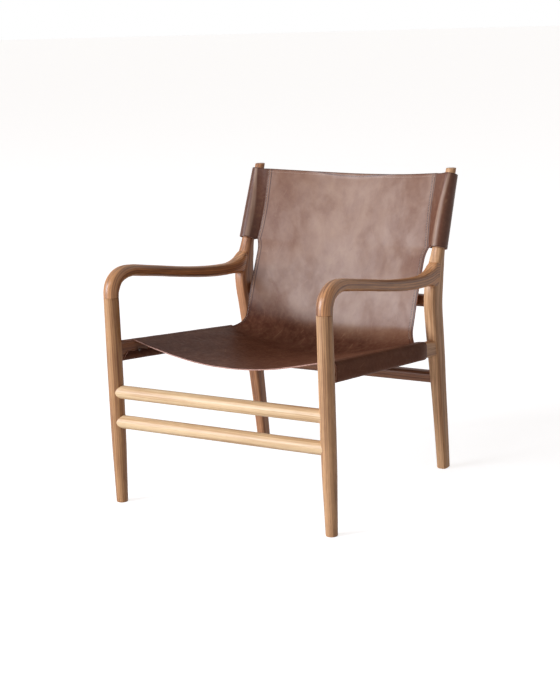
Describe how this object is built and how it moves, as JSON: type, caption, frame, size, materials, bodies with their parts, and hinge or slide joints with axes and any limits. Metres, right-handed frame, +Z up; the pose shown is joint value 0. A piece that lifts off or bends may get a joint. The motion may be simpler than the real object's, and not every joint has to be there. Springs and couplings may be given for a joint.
{
  "type": "armchair",
  "caption": "Sling armchair: round-legged wooden frame with bent arms and posts, carrying one leather hide as seat and back.",
  "frame": {"origin": "on the floor, under the middle of the chair's overall box", "axes": "+Z up, the sitter faces -Y, +X is the sitter's left, across the mirror plane of the chair"},
  "size_m": [0.653, 0.7064, 0.79],
  "materials": {
    "oiled_wood": "oiled hardwood, satin",
    "dowel_wood": "plain dowel, unfinished",
    "saddle_leather": "waxed brown saddle leather with raw edges",
    "tack_steel": "darkened steel"
  },
  "bodies": {
    "root": {"front_leg_left": "oiled_wood", "front_leg_right": "oiled_wood", "rear_leg_left": "oiled_wood", "rear_leg_right": "oiled_wood", "armrest_left": "oiled_wood", "armrest_right": "oiled_wood", "seat_rail_left": "oiled_wood", "seat_rail_right": "oiled_wood", "front_rung_upper": "oiled_wood", "front_rung_lower": "oiled_wood", "rear_stretcher": "oiled_wood", "back_rail": "oiled_wood", "leather_sling": "saddle_leather", "arm_front_dowel_left": "dowel_wood", "arm_front_dowel_right": "dowel_wood", "arm_rear_dowel_upper_left": "dowel_wood", "arm_rear_dowel_upper_right": "dowel_wood", "arm_rear_dowel_lower_left": "dowel_wood", "arm_rear_dowel_lower_right": "dowel_wood", "stretcher_pin_left": "dowel_wood", "stretcher_pin_right": "dowel_wood", "rail_tack_left_1": "tack_steel", "rail_tack_left_2": "tack_steel", "rail_tack_left_3": "tack_steel", "rail_tack_left_4": "tack_steel", "rail_tack_left_5": "tack_steel", "rail_tack_right_1": "tack_steel", "rail_tack_right_2": "tack_steel", "rail_tack_right_3": "tack_steel", "rail_tack_right_4": "tack_steel", "rail_tack_right_5": "tack_steel"}
  },
  "joints": []
}
